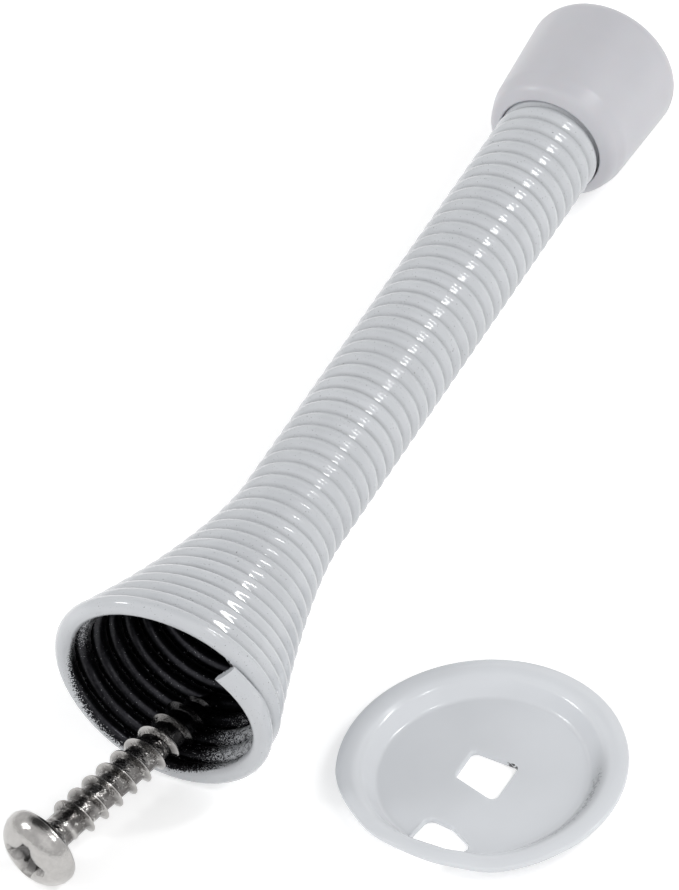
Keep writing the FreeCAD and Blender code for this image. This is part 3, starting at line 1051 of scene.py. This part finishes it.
def build_head(w):
    """Domed head with its cross recess and flat seat."""
    half = w.head / 2
    span = w.recess_span / 2
    arm = w.recess_arm / 2
    top = cross_outline(w, span, arm)
    middle = cross_outline(w, span * 0.80, arm * 0.85)
    low = cross_outline(w, span * 0.42, arm * 0.65)
    coords = []
    edges = []
    levels = [head_height(w, q.length) for q in top]
    levels += [0.55 * w.recess_depth] * len(middle)
    levels += [w.recess_depth] * len(low)
    for outline in (top, middle, low):
        edges += loop_edges(len(coords), len(outline))
        coords += outline
    for ring in range(1, HEAD_RINGS + 1):
        radius = half * math.sin(math.pi / 2 * ring / HEAD_RINGS)
        for k in range(HEAD_SEGMENTS):
            a = TURN * k / HEAD_SEGMENTS
            q = Vector((radius * math.cos(a), radius * math.sin(a)))
            inner = q / RECESS_ROOM
            if radius < w.recess_span and inside_outline(inner.x, inner.y, top):
                continue
            coords.append(q)
            levels.append(head_height(w, radius))
    coords.append(Vector((0, 0)))
    levels.append(w.recess_depth * 1.12)
    flat, _, triangles, origins, *_ = delaunay_2d_cdt(coords, edges, [], 0, 1e-9)
    verts = []
    for q, origin in zip(flat, origins):
        verts.append(Vector((q[0], q[1], levels[origin[0]] if origin else 0.0)))
    faces = []
    for f in triangles:
        a, b, c = (flat[i] for i in f[:3])
        turn = (b - a).cross(c - a)
        faces.append(tuple(reversed(f)) if turn > 0 else tuple(f))
    start = len(verts)
    seat = [
        (half, head_height(w, half)),
        (half, w.head_height * 0.86),
        (half * 0.97, w.head_height * 0.97),
        (half * 0.9, w.head_height),
        (w.neck / 2 * 0.98, w.head_height),
    ]
    seat_verts, seat_faces = turned(seat, HEAD_SEGMENTS)
    verts += [Vector(v) for v in seat_verts]
    faces += [tuple(i + start for i in reversed(f)) for f in seat_faces]
    return verts, faces


def thread_height(w, along):
    """Share of the thread's full height at a distance under the head."""
    if along >= w.length:
        return 0.0
    start = smooth_step(along, w.thread_start, w.thread_start + w.pitch * 0.7)
    end = 1 - smooth_step(along, w.length - 1.1 * w.pitch, w.length - 0.05 * w.pitch)
    return start * (0.15 + 0.85 * end)


def core_radius(w, along):
    """Radius of the shank between the threads."""
    neck = w.neck / 2
    core = w.core / 2
    thinning_and_shade = smooth_step(along, w.neck_length * 0.5, w.neck_length)
    radius = neck + (core - neck) * thinning_and_shade
    left = max(0.0, (w.length - along) / w.point)
    if left < 1:
        radius *= max(0.04, left) ** 0.8
    return radius


THREAD_POINTS = 8  # points across one turn of the thread
THREAD_CORNERS = (1, 3, 4, 6)  # those at its roots and on its crest
THREAD_SEGMENTS = 56
KNEE = 0.45  # where the thread's flank bends, as a share of its width
KNEE_RISE = 0.42
# where the painted shadow on the shank deep in the mouth begins and where it is full
SHADOW_START = 12.8 * MM
SHADOW_END = 14.6 * MM


def build_shank(w):
    """Shank and thread as one helical strip, turn after turn."""
    side = (w.root - w.crest) / 2 / w.pitch
    low = 0.5 - w.crest / w.pitch / 2
    high = 0.5 + w.crest / w.pitch / 2
    places = [0.0, low - side, low - side * KNEE, low]
    places += [high, high + side * KNEE, high + side, 1.0]
    shape = [0.0, 0.0, KNEE_RISE, 1.0, 1.0, KNEE_RISE, 0.0, 0.0]
    verts = []
    root = []
    rings = 0
    turns = -1.0
    last = w.length / w.pitch
    while turns <= last + 1e-6:
        a = TURN * turns + w.thread_turn
        for place, rise in zip(places, shape):
            along = min(max(w.pitch * (turns + place), 0.0), w.length)
            radius = core_radius(w, along)
            taper = min(1.0, (0.12 + (w.length - along) / w.point))
            peak = max(radius, w.thread / 2 * taper)
            radius += (peak - radius) * rise * thread_height(w, along)
            x = radius * math.cos(a)
            y = radius * math.sin(a)
            verts.append(Vector((x, y, w.head_height + along)))
            root.append(1.0 - rise)
        rings += 1
        turns += 1 / THREAD_SEGMENTS
    faces = []
    for ring in range(rings - 1):
        for k in range(THREAD_POINTS - 1):
            a = ring * THREAD_POINTS + k
            b = a + THREAD_POINTS
            faces.append((a, b, b + 1, a + 1))
    return verts, faces, root


def recess_shade(w, v):
    """Painted shade in the recess: how dark it is painted at a point of the head."""
    radius = math.hypot(v.x, v.y)
    if radius > w.recess_span / 2 * 0.95:
        return 0.0
    depth = v.z - head_height(w, radius)
    return 0.75 * smooth_step(depth, 0.1 * MM, w.recess_depth * 0.6)


def mouth_shadow(w, v):
    """How dark the shank is painted at a point deep in the mouth, as painted shadow of
    the mouth.
    """
    along = v.z - w.head_height
    return 0.9 * smooth_step(along, SHADOW_START, SHADOW_END)


class DOORSTOP_OT_screw(bpy.types.Operator):
    """Turns the wood screw with its thread and cross recess"""

    bl_idname = "door_stop.screw"
    bl_label = "Turn Screw"

    def execute(self, context):
        w = context.scene.door_stop_screw
        head_verts, head_faces = build_head(w)
        shank_verts, shank_faces, root = build_shank(w)
        start = len(head_verts)
        place = screw_place(w)
        verts = [place @ v for v in head_verts + shank_verts]
        faces = head_faces + [tuple(i + start for i in f) for f in shank_faces]
        # painted shade in the recess and painted shadow deep in the mouth
        painted_shade = [recess_shade(w, v) for v in head_verts]
        painted_shade += [mouth_shadow(w, v) for v in shank_verts]
        attributes = {"root": [0.0] * start + root, "painted_shade": painted_shade}
        material = screw_finish(context.scene.door_stop_finishes)
        piece = mesh_piece(
            "threaded_screw",
            verts,
            faces,
            material,
            ["wood_screw"],
            attributes,
        )
        marks = []
        for edge in piece.data.edges:
            a, b = edge.vertices
            on_thread = abs(a - b) == THREAD_POINTS and min(a, b) >= start
            marks.append(on_thread and (a - start) % THREAD_POINTS in THREAD_CORNERS)
        mark_sharp(piece, marks)
        return {"FINISHED"}


# stage


MIDDLE = Vector((-0.012, 0.025, 0))  # what the lamps aim at
# each lamp's name, place from the middle, width, height and power in watts
LAMPS = (
    ("key", (0.56, 0.33, 0.66), 0.06, 0.26, 1.4),
    ("right", (0.57, -0.15, 0.70), 0.06, 0.22, 0.6),
    ("left", (-0.65, -0.28, 0.56), 0.16, 0.16, 1.1),
    ("front", (0.33, -0.97, 0.8), 1.0, 1.0, 1.0),
)
WALL_LIGHT = 0.8
OPENING_LIGHT = 0.06
OPENING_TOWARD = (-0.1, 0.36, 0.93)
OPENING_EDGE = (0.8, 0.92)  # cosine where the opening begins and where it is dark
FLOOR_GLOW = 0.4
FLOOR_SIZE = 4.0


def add_lamp(name, offset, width, height, power):
    """Adds a soft lamp that aims at the middle."""
    lamp = bpy.data.lights.new(name, "AREA")
    lamp.shape = "RECTANGLE"
    lamp.size = width
    lamp.size_y = height
    lamp.energy = power
    lamp_object = bpy.data.objects.new(name, lamp)
    place = MIDDLE + Vector(offset)
    lamp_object.location = place
    direction = MIDDLE - place
    lamp_object.rotation_euler = direction.to_track_quat("-Z", "Y").to_euler()
    bpy.context.scene.collection.objects.link(lamp_object)


def floor_finish(finishes):
    """White to the camera and in reflections, with the shadow kept."""
    n = Nodes("pale_floor")
    rays = n.add("LightPath")
    camera = rays.outputs["Is Camera Ray"]
    seen = n.math("MAXIMUM", camera, rays.outputs["Is Glossy Ray"])
    return n.shader(
        {
            "Base Color": tuple(finishes.floor),
            "Roughness": 1.0,
            "Specular IOR Level": 0.0,
            "Emission Color": (1, 1, 1, 1),
            "Emission Strength": n.times(seen, FLOOR_GLOW),
        }
    )


def studio_walls(tree):
    """White all round with a dark opening overhead, which metal and gloss show."""
    nodes = tree.nodes
    background = nodes["Background"]
    background.inputs["Color"].default_value = (1, 1, 1, 1)
    place = nodes.new("ShaderNodeTexCoord")
    toward = nodes.new("ShaderNodeVectorMath")
    toward.operation = "DOT_PRODUCT"
    toward.inputs[1].default_value = Vector(OPENING_TOWARD).normalized()
    tree.links.new(place.outputs["Generated"], toward.inputs[0])
    level = nodes.new("ShaderNodeMapRange")
    tree.links.new(toward.outputs["Value"], level.inputs["Value"])
    level.inputs["From Min"].default_value = OPENING_EDGE[0]
    level.inputs["From Max"].default_value = OPENING_EDGE[1]
    level.inputs["To Min"].default_value = WALL_LIGHT
    level.inputs["To Max"].default_value = OPENING_LIGHT
    tree.links.new(level.outputs["Result"], background.inputs["Strength"])


class DOORSTOP_OT_stage(bpy.types.Operator):
    """Sets the floor, the soft studio light and the camera"""

    bl_idname = "door_stop.stage"
    bl_label = "Set Stage"

    def execute(self, context):
        scene = context.scene
        g = scene.door_stop_stage
        corners = [(-1, -1), (1, -1), (1, 1), (-1, 1)]
        corners = [(x * FLOOR_SIZE, y * FLOOR_SIZE, 0) for x, y in corners]
        mesh = bpy.data.meshes.new("floor")
        mesh.from_pydata(corners, [], [(0, 1, 2, 3)])
        mesh.materials.append(floor_finish(scene.door_stop_finishes))
        floor = bpy.data.objects.new("floor", mesh)
        scene.collection.objects.link(floor)

        world = bpy.data.worlds.new("studio")
        scene.world = world
        world.use_nodes = True
        studio_walls(world.node_tree)

        for lamp in LAMPS:
            add_lamp(*lamp)

        camera_data = bpy.data.cameras.new("camera")
        camera_data.lens = g.lens
        camera_data.sensor_width = 36.0
        camera_data.clip_start = 0.01
        camera = bpy.data.objects.new("camera", camera_data)
        back = Vector(
            (
                math.sin(g.azimuth) * math.cos(g.elevation),
                -math.cos(g.azimuth) * math.cos(g.elevation),
                math.sin(g.elevation),
            )
        )
        level = Vector((math.cos(g.azimuth), math.sin(g.azimuth), 0))
        upright = back.cross(level)
        right = level * math.cos(g.roll) - upright * math.sin(g.roll)
        up = level * math.sin(g.roll) + upright * math.cos(g.roll)
        turn = Matrix((right, up, back)).transposed().to_4x4()
        aim = Vector((g.aim_x, g.aim_y, 0))
        camera.matrix_world = Matrix.Translation(aim + back * g.distance) @ turn
        scene.collection.objects.link(camera)
        scene.camera = camera
        scene.view_settings.view_transform = "Standard"
        return {"FINISHED"}


class DOORSTOP_PT_panel(bpy.types.Panel):
    """Lists the sizes, the colours and the building steps"""

    bl_idname = "DOORSTOP_PT_panel"
    bl_label = "Spring Door Stop"
    bl_space_type = "VIEW_3D"
    bl_region_type = "UI"
    bl_category = "Door Stop"

    def draw(self, context):
        layout = self.layout
        for group in GROUPS:
            settings = getattr(context.scene, group)
            box = layout.box()
            box.label(text=group.replace("door_stop_", "").capitalize())
            for key in settings.__annotations__:
                box.prop(settings, key)
        for operator in OPERATORS:
            layout.operator(operator.bl_idname)


GROUPS = {
    "door_stop_spring": SpringSizes,
    "door_stop_tip": TipSizes,
    "door_stop_plate": PlateSizes,
    "door_stop_screw": ScrewSizes,
    "door_stop_finishes": Finishes,
    "door_stop_stage": StageSizes,
}
OPERATORS = (
    DOORSTOP_OT_spring,
    DOORSTOP_OT_tip,
    DOORSTOP_OT_plate,
    DOORSTOP_OT_screw,
    DOORSTOP_OT_stage,
)


def register():
    for group in GROUPS.values():
        bpy.utils.register_class(group)
    for operator in OPERATORS:
        bpy.utils.register_class(operator)
    bpy.utils.register_class(DOORSTOP_PT_panel)
    for name, group in GROUPS.items():
        setattr(bpy.types.Scene, name, PointerProperty(type=group))


def unregister():
    for name in GROUPS:
        delattr(bpy.types.Scene, name)
    bpy.utils.unregister_class(DOORSTOP_PT_panel)
    for operator in reversed(OPERATORS):
        bpy.utils.unregister_class(operator)
    for group in reversed(list(GROUPS.values())):
        bpy.utils.unregister_class(group)


def main():
    register()
    bpy.ops.door_stop.stage()
    bpy.ops.door_stop.spring()
    bpy.ops.door_stop.tip()
    bpy.ops.door_stop.plate()
    bpy.ops.door_stop.screw()


if __name__ == "__main__":
    main()
